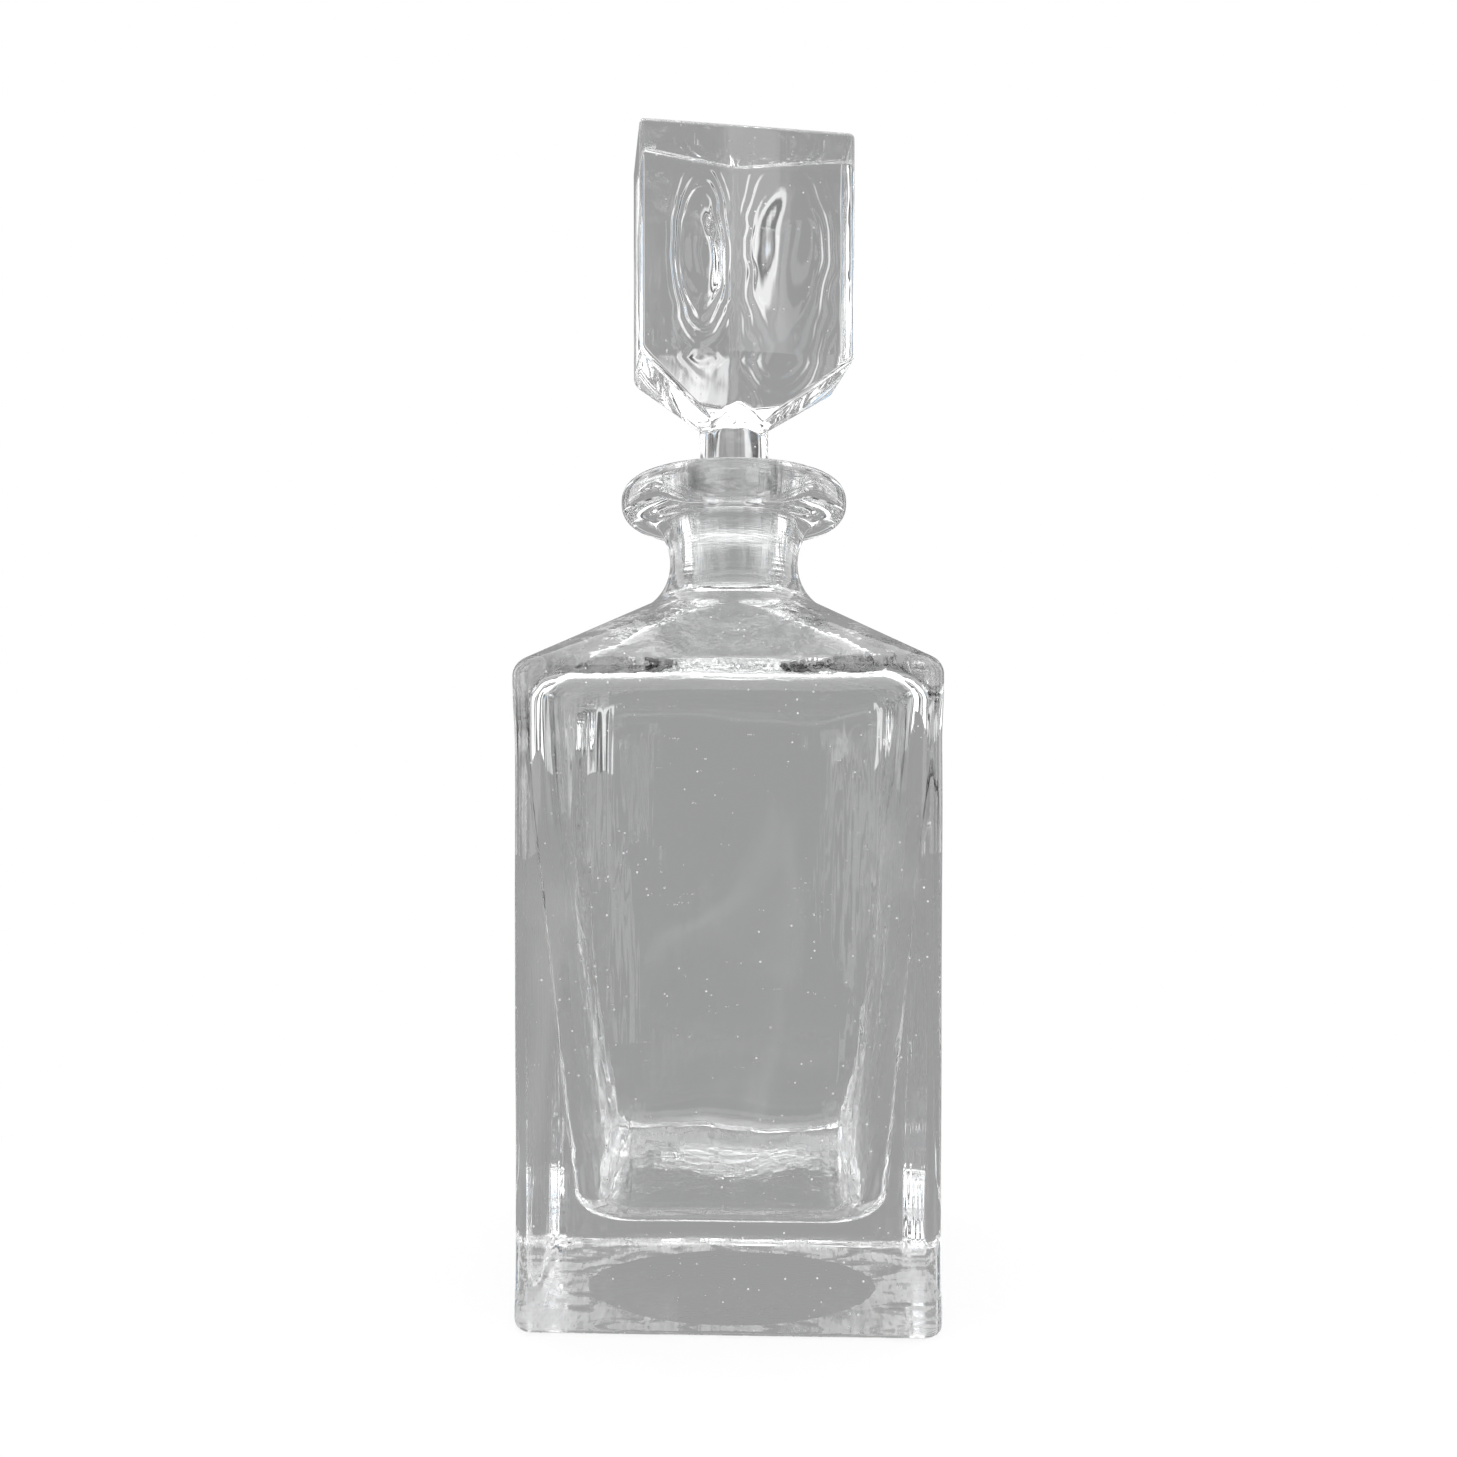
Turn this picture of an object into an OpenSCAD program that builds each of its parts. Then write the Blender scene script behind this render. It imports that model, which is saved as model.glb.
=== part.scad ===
// Square spirit decanter with a lift-out block stopper.
// Two pieces of clear glass: a heavy-based bottle and a solid stopper whose tapered plug
// stands in the bottle's tapered mouth. The origin is on the table under the middle of the
// bottle, +Z is up, and the broad flat front of the stopper looks along -Y, turned a little
// towards +X. Millimetres.

/* [Body] */
// Width and depth of the square body
body_w = 91.5; // [85:0.5:96]
// Height of the line where the walls meet the shoulder
shoulder_h = 142.5; // [130:0.5:155]
// Slope of the four shoulder faces above level, degrees
shoulder_slope = 36.5; // [33:0.5:38]
// Slope of the rounded hips between those faces, from the corners to the neck, degrees
hip_slope = 24.5; // [23:0.5:26]
// Radius on the upright edges
upright_r = 4; // [2:0.5:6]
// Radius where the walls turn into the shoulder
shoulder_r = 5; // [2:0.5:8]
// Radius where the walls turn under the base
foot_r = 2.5; // [1:0.5:3]
// Diameter of the shallow hollow under the base
hollow_d = 67; // [50:1:76]
// Depth of the shallow hollow under the base
hollow_depth = 0.6; // [0.4:0.1:3]

/* [Cavity] */
// Thickness of glass under the cavity
base_t = 21; // [17:0.5:26]
// Wall thickness beside the cavity floor
wall_foot = 10.5; // [8:0.5:12]
// Wall thickness just below the shoulder
wall_top = 3; // [2.5:0.5:5]
// Radius all round the cavity floor
floor_r = 7.5; // [6:0.5:11]
// Radius of the cavity's upper corners
roof_r = 5; // [3:0.5:7]
// Glass above the cavity, measured upright through the shoulder
shoulder_t = 6; // [4.5:0.5:7]

/* [Neck and lip] */
// Radius of the neck at its waist
waist_r = 15.6; // [15:0.1:17]
// Radius of the concave sweep from shoulder to lip
waist_sweep_r = 13; // [11:0.5:14]
// Outer radius of the lip ring
lip_r = 27.4; // [25:0.1:29]
// Thickness of the lip ring
lip_t = 10.8; // [10:0.1:12]
// Radius rounding the lip ring's outside
lip_round_r = 4.9; // [3:0.1:5]
// Distance from the waist to the top of the lip
lip_rise = 19.8; // [18.5:0.1:22]
// Bevel between the lip's top and the mouth
mouth_bevel = 1.2; // [0.5:0.1:2]

/* [Ground joint] */
// Radius of the plug at its lower end
plug_foot_r = 10.1; // [9.5:0.1:10.5]
// Growth of the plug's radius for each millimetre of height
plug_taper = 0.04; // [0.03:0.002:0.05]
// Length of the plug
plug_len = 27; // [22:0.5:28]
// Height of the plug's shoulder above the lip's top, negative when it stands below
plug_seat = -1.8; // [-4:0.1:-1]
// Gap between the plug and the mouth all round
joint_gap = 0.08; // [0.05:0.01:0.15]
// Bevel round the plug's lower end
plug_bevel = 0.8; // [0.4:0.1:1.2]

/* [Stopper] */
// Width of the block across its broad front
block_w = 51; // [46:0.5:54]
// Distance from the plug's axis forward to the block's flat front
block_front = 13.5; // [11:0.5:16]
// Distance from the plug's axis back to the rear ends of the block's narrow sides
block_back = 12.5; // [10:0.5:16]
// How far the upright ridge down the block's rear stands behind those ends
block_ridge = 11; // [6:0.5:14]
// Distance of the block's middle to the right of the plug's axis
block_shift = 1.7; // [0:0.1:2.5]
// Height of the block above its tapered underside
block_h = 53.5; // [48:0.5:60]
// Radius on the upright edges of the block's front
block_edge_r = 2.5; // [1:0.1:4]
// Bevel round the block's top
block_bevel = 0.8; // [0.4:0.1:1.5]
// Turn of the stopper in the mouth, degrees, from its front square to the bottle's
stopper_turn = 9.7; // [0:0.1:45]
// Height of the tapered underside
taper_h = 14; // [11:0.5:17]
// Radius of the eight-sided neck, over its corners
stem_r = 8.7; // [8:0.1:9.5]
// Height of the neck between the plug and the tapered underside
stem_h = 14.5; // [12:0.5:18]
// Radius of the round foot where the neck grows out of the plug
stem_foot_r = 9.8; // [9:0.1:10.5]
// Height of that round foot
stem_foot_h = 3; // [2:0.5:5]

/* [Hidden] */
$fn = 96;
hull_fn = 32;
skin = 0.01;

// Shoulder and neck: the sweep leaves each shoulder face at a tangent, which fixes its height.
half_w = body_w / 2;
sweep_x = waist_r + waist_sweep_r;
tangent_r = sweep_x - waist_sweep_r * sin(shoulder_slope);
tangent_z = shoulder_h + (half_w - tangent_r) * tan(shoulder_slope);
waist_z = tangent_z + waist_sweep_r * cos(shoulder_slope);
lip_top_z = waist_z + lip_rise;
lip_foot_z = lip_top_z - lip_t;

// Ground joint: plug and mouth share one taper.
plug_top_z = lip_top_z + plug_seat;
plug_foot_z = plug_top_z - plug_len;
plug_top_r = plug_foot_r + plug_len * plug_taper;
mouth_top_r = plug_top_r - plug_seat * plug_taper + joint_gap;
bore_foot_z = plug_foot_z - 1;
bore_foot_r = plug_foot_r - plug_taper + joint_gap;

// Cavity: its roof keeps one thickness of glass under the shoulder, up to where the throat begins.
foot_half = half_w - wall_foot;
top_half = half_w - wall_top;
roof_z = shoulder_h + (wall_top + roof_r) * tan(shoulder_slope) - shoulder_t - roof_r / cos(shoulder_slope);
throat_r = tangent_r - 3;
throat_z = shoulder_h + (half_w - throat_r) * tan(shoulder_slope) - shoulder_t;

// Hips: a wide cone that passes through the foot of the neck's sweep and ends inside the neck.
// The sweep is let into the shoulder by a hair, so that the two meet along one clean edge.
sweep_bite = 0.1;
hip_base_r = 0.75 * body_w;
hip_base_z = tangent_z - (hip_base_r - tangent_r) * tan(hip_slope);
hip_top_r = tangent_r - 1.5;
hip_top_z = hip_base_z + (hip_base_r - hip_top_r) * tan(hip_slope);

// Stopper heights.
stem_top_z = plug_top_z + stem_h;
block_z = stem_top_z + taper_h;
block_top_z = block_z + block_h;

// A square with round corners, drawn about its middle.
module rounded_rect(w, d, r) {
    square([w - 2 * r, d], center = true);
    square([w, d - 2 * r], center = true);
    for (x = [-1, 1], y = [-1, 1])
        translate([x * (w / 2 - r), y * (d / 2 - r)]) circle(r);
}

// Stands a flat outline upright, X across and Y up, and gives it a depth about its middle.
module upright(depth) {
    rotate([90, 0, 0]) translate([0, 0, -depth / 2]) linear_extrude(depth) children();
}

// Outline of the body from one side: round foot, upright wall, round corner, sloping shoulder.
module wall_outline() {
    drop = shoulder_r * (1 - sin(shoulder_slope)) / cos(shoulder_slope);
    corner = [half_w - shoulder_r, shoulder_h - drop];
    leave = corner + shoulder_r * [sin(shoulder_slope), cos(shoulder_slope)];
    peak_z = shoulder_h + (half_w - waist_r / 2) * tan(shoulder_slope);
    for (side = [0, 1]) mirror([side, 0]) {
        polygon([
            [-skin, 0], [half_w - foot_r, 0], [half_w, foot_r], [half_w, corner[1]],
            leave, [waist_r / 2, peak_z], [-skin, peak_z]
        ]);
        translate([half_w - foot_r, foot_r]) circle(foot_r);
        translate(corner) circle(shoulder_r);
    }
}

// Solid outside of the body, before the neck is added.
module body_form() {
    intersection() {
        linear_extrude(lip_foot_z) rounded_rect(body_w, body_w, upright_r);
        upright(body_w + 2) wall_outline();
        rotate([0, 0, 90]) upright(body_w + 2) wall_outline();
        union() {
            cylinder(h = hip_base_z, r = hip_base_r);
            translate([0, 0, hip_base_z])
                cylinder(h = hip_top_z - hip_base_z, r1 = hip_base_r, r2 = hip_top_r);
        }
    }
}

// Solid outside of the neck: a concave sweep up to the underside of the lip.
module neck_form() {
    rotate_extrude() difference() {
        translate([0, shoulder_h]) square([tangent_r, lip_foot_z + lip_t / 2 - shoulder_h]);
        translate([sweep_x, waist_z - sweep_bite]) circle(waist_sweep_r);
    }
}

// Solid lip ring with a full round outside.
module lip_form() {
    rotate_extrude() {
        translate([0, lip_foot_z]) square([lip_r - lip_round_r, lip_t]);
        translate([0, lip_foot_z + lip_round_r]) square([lip_r, lip_t - 2 * lip_round_r]);
        for (z = [lip_foot_z + lip_round_r, lip_top_z - lip_round_r])
            translate([lip_r - lip_round_r, z]) circle(lip_round_r);
    }
}

// Space for the drink: a square chamber that narrows downwards, closing in to the throat.
module cavity() {
    hull() {
        for (x = [-1, 1], y = [-1, 1]) {
            translate([x * (foot_half - floor_r), y * (foot_half - floor_r), base_t + floor_r])
                sphere(floor_r, $fn = hull_fn);
            translate([x * (top_half - roof_r), y * (top_half - roof_r), roof_z])
                sphere(roof_r, $fn = hull_fn);
        }
        translate([0, 0, throat_z]) cylinder(h = skin, r = throat_r, $fn = hull_fn);
    }
    translate([0, 0, throat_z - skin])
        cylinder(h = bore_foot_z - throat_z + 2 * skin, r1 = throat_r, r2 = bore_foot_r);
}

// Tapered mouth that the plug stands in, with its bevelled rim.
module mouth() {
    translate([0, 0, bore_foot_z])
        cylinder(h = lip_top_z - bore_foot_z + skin, r1 = bore_foot_r, r2 = mouth_top_r);
    translate([0, 0, lip_top_z - mouth_bevel])
        cylinder(h = mouth_bevel + skin, r1 = mouth_top_r, r2 = mouth_top_r + mouth_bevel);
}

// Shallow round hollow that leaves the bottle standing on a flat border.
module base_hollow() {
    bowl_r = (hollow_d * hollow_d / 4 + hollow_depth * hollow_depth) / (2 * hollow_depth);
    translate([0, 0, hollow_depth - bowl_r]) sphere(bowl_r);
}

module bottle() {
    color("gainsboro", 0.35) difference() {
        union() {
            body_form();
            neck_form();
            lip_form();
        }
        cavity();
        mouth();
        base_hollow();
    }
}

// Plan of the block, drawn in by inset all round: flat front, narrow sides, ridged rear.
module block_plan(inset = 0) {
    half = block_w / 2 - inset;
    front = block_front - inset;
    back = block_back - inset;
    ridge = back + block_ridge;
    translate([block_shift, 0]) intersection() {
        translate([0, (ridge - front) / 2]) rounded_rect(2 * half, ridge + front, block_edge_r);
        polygon([[-half, -front], [half, -front], [half, back], [0, ridge], [-half, back]]);
    }
}

// Block of the stopper, bevelled round its top, with its tapered underside.
module block() {
    translate([0, 0, block_z]) linear_extrude(block_h - block_bevel) block_plan();
    hull() {
        translate([0, 0, block_top_z - block_bevel - skin]) linear_extrude(skin) block_plan($fn = hull_fn);
        translate([0, 0, block_top_z - skin]) linear_extrude(skin) block_plan(block_bevel, $fn = hull_fn);
    }
    hull() {
        translate([0, 0, block_z]) linear_extrude(skin) block_plan($fn = hull_fn);
        translate([0, 0, stem_top_z]) rotate(45) cylinder(h = skin, r = stem_r, $fn = 4);
    }
}

// Eight-sided neck, standing with a corner to the front, on its round foot.
module stem() {
    translate([0, 0, plug_top_z]) {
        cylinder(h = stem_h + taper_h / 2, r = stem_r, $fn = 8);
        cylinder(h = stem_foot_h, r1 = stem_foot_r, r2 = stem_r * cos(22.5));
    }
}

// Ground plug, bevelled round its lower end.
module plug() {
    translate([0, 0, plug_foot_z + plug_bevel])
        cylinder(h = plug_len - plug_bevel, r1 = plug_foot_r + plug_bevel * plug_taper, r2 = plug_top_r);
    translate([0, 0, plug_foot_z])
        cylinder(h = plug_bevel, r1 = plug_foot_r - plug_bevel, r2 = plug_foot_r + plug_bevel * plug_taper);
}

module stopper() {
    color("whitesmoke", 0.35) rotate([0, 0, stopper_turn]) {
        block();
        stem();
        plug();
    }
}

bottle();
stopper();
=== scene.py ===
"""Square glass decanter with a block stopper: its finished look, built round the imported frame.

Two pieces of clear glass are made here. Each one is a single closed skin that stands for its node
of the frame and moves with that node's body. Sizes in the classes are millimetres, measured from
the table under the middle of the bottle, and meshes are in metres.
"""

from __future__ import annotations

import logging
import math
from dataclasses import dataclass
from enum import Enum

import bmesh
import bpy
from mathutils import Matrix, Vector, noise


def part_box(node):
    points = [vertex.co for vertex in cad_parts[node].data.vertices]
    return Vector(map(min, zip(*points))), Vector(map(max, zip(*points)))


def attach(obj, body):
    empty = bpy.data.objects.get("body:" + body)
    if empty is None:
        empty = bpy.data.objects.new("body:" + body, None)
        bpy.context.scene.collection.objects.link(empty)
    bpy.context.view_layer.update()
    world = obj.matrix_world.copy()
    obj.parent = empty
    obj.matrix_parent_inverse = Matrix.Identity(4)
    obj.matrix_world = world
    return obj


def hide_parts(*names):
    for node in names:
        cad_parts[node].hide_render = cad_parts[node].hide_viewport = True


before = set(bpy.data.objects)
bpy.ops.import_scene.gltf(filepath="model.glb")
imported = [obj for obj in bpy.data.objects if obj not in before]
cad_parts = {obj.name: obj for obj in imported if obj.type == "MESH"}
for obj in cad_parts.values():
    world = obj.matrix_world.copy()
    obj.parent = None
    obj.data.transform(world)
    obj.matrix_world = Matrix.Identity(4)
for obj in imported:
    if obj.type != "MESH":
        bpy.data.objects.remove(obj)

MM = 0.001
MERGE = 0.0005 * MM
HAIR = 0.01
FLAT = math.radians(0.5)
CREASE = math.radians(5)
WHITE = (1.0, 1.0, 1.0, 1.0)
log = logging.getLogger("decanter")


class Finish(Enum):
    """Which finish a stretch of surface has; the value is its place among the materials."""

    POLISHED = 0
    GROUND = 1
    # the foot's worn border, whose material also has a painted glow
    WORN_AND_PAINTED_GLOW = 2


@dataclass(frozen=True)
class Station:
    """One level ring on a piece's skin.

    Args:
        half: half the ring's width across its flats.
        height: height above the table.
        corner: radius of the ring's corners; as large as half, the ring is a circle.
        finish: finish of the skin between this ring and the next.
    """

    half: float
    height: float
    corner: float
    finish: Finish = Finish.POLISHED


def arc(
    centre: tuple[float, float], radius: float, start: float, end: float, steps: int
) -> list[tuple[float, float]]:
    """Points along an arc in a piece's profile.

    Args:
        centre: distance from the axis and height of the arc's centre.
        radius: the arc's radius.
        start: first angle in degrees, from straight outwards, turning upwards.
        end: last angle in degrees.
        steps: number of equal steps.

    Returns:
        Distance from the axis and height of each point, both ends included.
    """
    angles = [math.radians(start + (end - start) * i / steps) for i in range(steps + 1)]
    return [(centre[0] + radius * math.cos(a), centre[1] + radius * math.sin(a)) for a in angles]


def mix(low: float, high: float, share: float) -> float:
    """The value a given share of the way from low to high."""
    return low + (high - low) * share


def ease(share: float) -> float:
    """A share from 0 to 1 that starts and ends gently."""
    share = min(max(share, 0.0), 1.0)
    return share * share * (3 - 2 * share)


def cloud(point: Vector, cell: tuple[float, float, float]) -> float:
    """A soft uneven swell, from about -1 to 1.

    Args:
        point: where to read it, in metres.
        cell: size of one swell along X, Y and Z, in millimetres.

    Returns:
        The swell at the point.
    """
    return noise.noise(Vector([part / (size * MM) for part, size in zip(point, cell)]))


def lowest(bm: bmesh.types.BMesh) -> bmesh.types.BMFace:
    """The face whose middle is lowest."""
    return min(bm.faces, key=lambda face: face.calc_center_median().z)


# ---------------------------------------------------------------- finishes


Input = bpy.types.NodeSocket | float


class Nodes:
    """A node tree, with short ways to add and join nodes."""

    def __init__(self, owner: bpy.types.Material | bpy.types.World) -> None:
        """Empties the owner's node tree and takes it over.

        Args:
            owner: the material or world to build in.
        """
        owner.use_nodes = True
        self.owner = owner
        self.tree = owner.node_tree
        self.tree.nodes.clear()

    def add(self, kind: str, **values: object) -> bpy.types.Node:
        """Adds a node.

        Args:
            kind: the node's type name.
            values: attributes to set, or input sockets to set or join where the name is one,
                with underscores for spaces.

        Returns:
            The new node.
        """
        node = self.tree.nodes.new(kind)
        for key, value in values.items():
            if hasattr(node, key):
                setattr(node, key, value)
            else:
                self.give(value, node.inputs[key.replace("_", " ")])
        return node

    def give(self, value: Input | tuple[float, ...], target: bpy.types.NodeSocket) -> None:
        """Joins an output to an input, or sets the input to a constant.

        Args:
            value: the output to join, or the constant.
            target: the input.
        """
        if isinstance(value, bpy.types.NodeSocket):
            self.tree.links.new(value, target)
        else:
            target.default_value = value

    def place(self, scale: tuple[float, float, float]) -> bpy.types.NodeSocket:
        """Object coordinates, scaled.

        Args:
            scale: how many millimetres one pattern unit covers along each axis.

        Returns:
            The scaled coordinates.
        """
        source = self.add("ShaderNodeTexCoord").outputs["Object"]
        scale = tuple(1 / (length * MM) for length in scale)
        return self.add("ShaderNodeMapping", Vector=source, Scale=scale).outputs["Vector"]

    def noise(
        self, place: bpy.types.NodeSocket, detail: float, distortion: float = 0.0
    ) -> bpy.types.NodeSocket:
        """A soft cloudy pattern around a half.

        Args:
            place: coordinates to read, one cell to a unit.
            detail: how many finer layers it has.
            distortion: how far the clouds are drawn out of shape.

        Returns:
            The pattern.
        """
        node = self.add(
            "ShaderNodeTexNoise", Vector=place, Scale=1.0, Detail=detail, Distortion=distortion
        )
        return node.outputs["Fac"]

    def ramp(
        self, value: bpy.types.NodeSocket, stops: list[tuple[float, float]]
    ) -> bpy.types.NodeSocket:
        """Remaps a value through grey stops.

        Args:
            value: the value to remap.
            stops: pairs of place and grey level, low to high.

        Returns:
            The remapped value.
        """
        node = self.add("ShaderNodeValToRGB", Fac=value)
        elements = node.color_ramp.elements
        while len(elements) < len(stops):
            elements.new(0.5)
        for element, (place, grey) in zip(elements, stops):
            element.position = place
            element.color = (grey, grey, grey, 1)
        return node.outputs["Color"]

    def step(self, value: bpy.types.NodeSocket, low: float, high: float) -> bpy.types.NodeSocket:
        """A smooth rise from 0 to 1.

        Args:
            value: the value that the rise follows.
            low: where it is still 0; the larger of the two for a fall.
            high: where it has become 1.

        Returns:
            The rise.
        """
        node = self.add(
            "ShaderNodeMapRange", interpolation_type="SMOOTHSTEP", From_Min=low, From_Max=high
        )
        self.give(value, node.inputs["Value"])
        return node.outputs["Result"]

    def math(self, operation: str, first: Input, second: Input = 0.0) -> bpy.types.NodeSocket:
        """A sum on two values.

        Args:
            operation: Blender's name for the sum.
            first: a socket or a number.
            second: a socket or a number.

        Returns:
            The result.
        """
        node = self.add("ShaderNodeMath", operation=operation)
        self.give(first, node.inputs[0])
        self.give(second, node.inputs[1])
        return node.outputs[0]

    def bump(self, height: bpy.types.NodeSocket, depth: float) -> bpy.types.NodeSocket:
        """A relief on the surface, depth millimetres to each unit of the height pattern."""
        node = self.add("ShaderNodeBump", Strength=1.0, Distance=depth * MM, Height=height)
        return node.outputs["Normal"]


@dataclass(frozen=True)
class Spot:
    """An oval region of a surface, such as a dish.

    Args:
        centre: its middle, in millimetres.
        size: its half-lengths along X, Y and Z before it is turned.
        turn: degrees that it is turned about the upright axis.
    """

    centre: tuple[float, float, float]
    size: tuple[float, float, float]
    turn: float = 0.0

    def distance(self, point: Vector) -> float:
        """Distance of a point from the region's middle, 1 at its edge.

        Args:
            point: the point, in metres.

        Returns:
            The distance.
        """
        unturned = Matrix.Rotation(math.radians(-self.turn), 3, "Z")
        away = unturned @ (point / MM - Vector(self.centre))
        return Vector([part / half for part, half in zip(away, self.size)]).length

    def reach(self, nodes: Nodes, stir: Input = 0.0) -> bpy.types.NodeSocket:
        """Distance from the region's middle, 1 at its edge.

        Args:
            nodes: the tree to build in.
            stir: a pattern to push the region's edge in and out with.

        Returns:
            The distance.
        """
        mapping = nodes.add("ShaderNodeMapping", vector_type="TEXTURE")
        nodes.give(nodes.add("ShaderNodeTexCoord").outputs["Object"], mapping.inputs["Vector"])
        nodes.give(tuple(c * MM for c in self.centre), mapping.inputs["Location"])
        nodes.give((0.0, 0.0, math.radians(self.turn)), mapping.inputs["Rotation"])
        nodes.give(tuple(c * MM for c in self.size), mapping.inputs["Scale"])
        length = nodes.add("ShaderNodeVectorMath", operation="LENGTH")
        nodes.give(mapping.outputs["Vector"], length.inputs[0])
        return nodes.math("ADD", length.outputs["Value"], stir)


@dataclass(frozen=True)
class ClearGlass:
    """Polished clear glass, with the waves, dust and wiped marks of a handled pressed piece; the
    dust specks also carry a painted glow.

    Args:
        name: the material's name.
        tint: colour of the glass in the mass.
        ior: refractive index.
        wave: height of the surface's slow waves, in millimetres.
        drawn: height of its upright drawn lines, in millimetres.
        turned_above: height above which the waves run round in hoops instead, in millimetres.
        turned_band: height over which the waves give way to the hoops, in millimetres.
        wave_cell: size of one wave along X, Y and Z, in millimetres.
        line_cell: size of one drawn line.
        hoop_cell: size of one hoop.
        hoop_share: height of the hoops as a share of the waves' height.
        dishes: pressed hollows, which faint steps ring.
        dish_stir: how far the rings stray from a true oval, as a share of its size.
        stir_cell: size of one stray of the rings.
        ring_turn: radians of ring pattern from a dish's middle to its edge.
        ring_height: height of the rings, in millimetres.
        smear_cell: size of one wiped mark.
        smear_strength: how strong the wiped marks are, from 0 to 1.
        smear_haze: roughness that a full wiped mark adds.
        smear_cover: share of the light that a full wiped mark scatters.
        dust_cell: distance between places where a speck may lie.
        dust_patch: size of the patches that dust gathers in.
        dust_haze: roughness that a speck adds.
        dust_cover: share of the light that a speck scatters.
        dust_painted_glow: painted light that a speck gives off, a glow of its own.
    """

    name: str
    tint: tuple[float, float, float] = (0.985, 0.99, 0.99)
    ior: float = 1.52
    wave: float = 0.09
    drawn: float = 0.02
    turned_above: float = 1000.0
    turned_band: float = 8.0
    wave_cell: tuple[float, float, float] = (16.0, 16.0, 22.0)
    line_cell: tuple[float, float, float] = (3.0, 3.0, 60.0)
    hoop_cell: tuple[float, float, float] = (34.0, 34.0, 5.0)
    hoop_share: float = 0.7
    dishes: tuple[Spot, ...] = ()
    dish_stir: float = 0.25
    stir_cell: tuple[float, float, float] = (11.0, 11.0, 11.0)
    ring_turn: float = 26.0
    ring_height: float = 0.05
    smear_cell: tuple[float, float, float] = (26.0, 26.0, 60.0)
    smear_strength: float = 0.4
    smear_haze: float = 0.05
    smear_cover: float = 0.3
    dust_cell: tuple[float, float, float] = (2.2, 2.2, 2.2)
    dust_patch: tuple[float, float, float] = (20.0, 20.0, 20.0)
    dust_haze: float = 0.5
    dust_cover: float = 0.9
    # painted glow: light given off by the dust specks themselves
    dust_painted_glow: float = 0.25

    def relief(self, nodes: Nodes) -> bpy.types.NodeSocket:
        """The surface's fine relief in millimetres: waves, drawn lines and the rings round dishes.

        Args:
            nodes: the tree to build in.

        Returns:
            The height.
        """
        upright = nodes.add("ShaderNodeSeparateXYZ")
        nodes.give(nodes.add("ShaderNodeTexCoord").outputs["Object"], upright.inputs[0])
        hoops_from = (self.turned_above - self.turned_band) * MM
        turned = nodes.step(upright.outputs[2], hoops_from, self.turned_above * MM)
        waves = nodes.math("MULTIPLY", nodes.noise(nodes.place(self.wave_cell), 1.0), self.wave)
        lines = nodes.math("MULTIPLY", nodes.noise(nodes.place(self.line_cell), 2.0), self.drawn)
        hoop_height = self.wave * self.hoop_share
        hoops = nodes.math("MULTIPLY", nodes.noise(nodes.place(self.hoop_cell), 1.0), hoop_height)
        pick = nodes.add("ShaderNodeMix", data_type="FLOAT")
        nodes.give(turned, pick.inputs[0])
        nodes.give(nodes.math("ADD", waves, lines), pick.inputs[2])
        nodes.give(hoops, pick.inputs[3])
        height = pick.outputs[0]
        for dish in self.dishes:
            height = nodes.math("ADD", height, self.rings(nodes, dish))
        return height

    def rings(self, nodes: Nodes, dish: Spot) -> bpy.types.NodeSocket:
        """The faint steps round one dish.

        Args:
            nodes: the tree to build in.
            dish: the dish.

        Returns:
            Their height, in millimetres.
        """
        clouds = nodes.noise(nodes.place(self.stir_cell), 0.5, 0.5)
        stir = nodes.math("MULTIPLY", clouds, 2 * self.dish_stir)
        reach = dish.reach(nodes, nodes.math("SUBTRACT", stir, self.dish_stir))
        steps = nodes.math("SINE", nodes.math("MULTIPLY", reach, self.ring_turn))
        band = nodes.math("MULTIPLY", nodes.step(reach, 1.9, 1.1), nodes.step(reach, 0.75, 0.95))
        return nodes.math("MULTIPLY", nodes.math("MULTIPLY", steps, band), self.ring_height)

    def marks(self, nodes: Nodes) -> tuple[bpy.types.NodeSocket, bpy.types.NodeSocket]:
        """Where the surface is touched and where dust lies.

        Args:
            nodes: the tree to build in.

        Returns:
            The smears and the dust, each from 0 to 1; the dust also places the specks' painted glow.
        """
        smears = nodes.step(nodes.noise(nodes.place(self.smear_cell), 3.0, 1.0), 0.58, 0.75)
        smears = nodes.math("MULTIPLY", smears, self.smear_strength)
        cells = nodes.add("ShaderNodeTexVoronoi", Scale=1.0, Vector=nodes.place(self.dust_cell))
        specks = nodes.step(cells.outputs["Distance"], 0.12, 0.07)
        picked = nodes.step(cells.outputs["Color"], 0.45, 0.43)
        patch = nodes.step(nodes.noise(nodes.place(self.dust_patch), 2.0), 0.42, 0.55)
        dust_and_painted_glow = nodes.math("MULTIPLY", nodes.math("MULTIPLY", specks, picked), patch)
        return smears, dust_and_painted_glow

    def material(self) -> bpy.types.Material:
        """Makes the material.

        Returns:
            The finished material.
        """
        nodes = Nodes(bpy.data.materials.new(self.name))
        smears, dust_and_painted_glow = self.marks(nodes)
        smear_rough = nodes.math("MULTIPLY", smears, self.smear_haze)
        dust_rough = nodes.math("MULTIPLY", dust_and_painted_glow, self.dust_haze)
        smear_white = nodes.math("MULTIPLY", smears, self.smear_cover)
        hidden = nodes.math("MAXIMUM", smear_white, nodes.math("MULTIPLY", dust_and_painted_glow, self.dust_cover))
        shader = nodes.add(
            "ShaderNodeBsdfPrincipled", Base_Color=(*self.tint, 1), IOR=self.ior,
            Roughness=nodes.math("ADD", smear_rough, dust_rough),
            Normal=nodes.bump(self.relief(nodes), 1.0),
            Transmission_Weight=nodes.math("SUBTRACT", 1.0, hidden),
            # Painted glow: the dust specks give off light of their own.
            Emission_Color=WHITE, Emission_Strength=nodes.math("MULTIPLY", dust_and_painted_glow, self.dust_painted_glow),
        )
        nodes.add("ShaderNodeOutputMaterial", Surface=shader.outputs["BSDF"])
        return nodes.owner


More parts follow.
